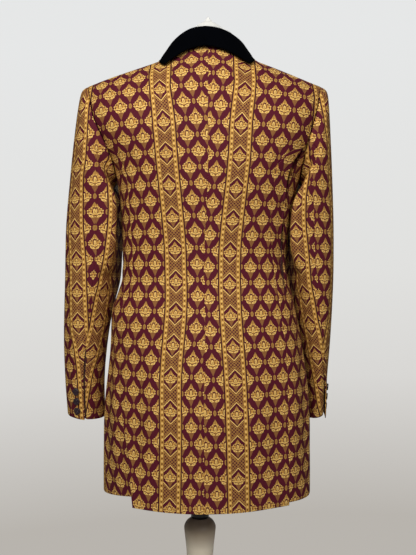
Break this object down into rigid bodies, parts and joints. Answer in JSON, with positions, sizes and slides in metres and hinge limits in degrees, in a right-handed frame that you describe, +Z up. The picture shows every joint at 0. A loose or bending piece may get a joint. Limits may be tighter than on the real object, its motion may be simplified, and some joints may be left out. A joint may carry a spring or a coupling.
{
  "type": "blazer on a dress form",
  "caption": "Long fitted blazer in gold and burgundy brocade with a black velvet collar, on a limbless white dress form with a turned pole and a round base.",
  "frame": {"origin": "centre of the stand base's underside, on the pole's axis", "axes": "+Z up; the garment's back faces -Y and its front +Y; +X is the wearer's right"},
  "size_m": [0.5033, 0.324, 1.496],
  "materials": {
    "brocade": "woven brocade, gold figures and border stripes on burgundy, slight sheen",
    "velvet": "black pile velvet",
    "button": "dark aubergine, polished",
    "form_cover": "white jersey cover",
    "white_paint": "turned wood painted satin white",
    "black_metal": "glossy black"
  },
  "bodies": {
    "root": {"back_left": "brocade", "back_right": "brocade", "side_left": "brocade", "side_right": "brocade", "front_left": "brocade", "front_right": "brocade", "lapel_left": "brocade", "lapel_right": "brocade", "sleeve_top_left": "brocade", "sleeve_top_right": "brocade", "sleeve_under_left": "brocade", "sleeve_under_right": "brocade", "collar": "velvet", "cuff_button_left_1": "button", "cuff_button_left_2": "button", "cuff_button_left_3": "button", "cuff_button_right_1": "button", "cuff_button_right_2": "button", "cuff_button_right_3": "button", "front_button_1": "button", "front_button_2": "button", "front_button_3": "button", "dress_form": "form_cover", "neck_cap": "form_cover", "stand_rod": "white_paint", "pole_collar": "black_metal", "stand_pole": "white_paint", "stand_base": "white_paint"}
  },
  "joints": []
}
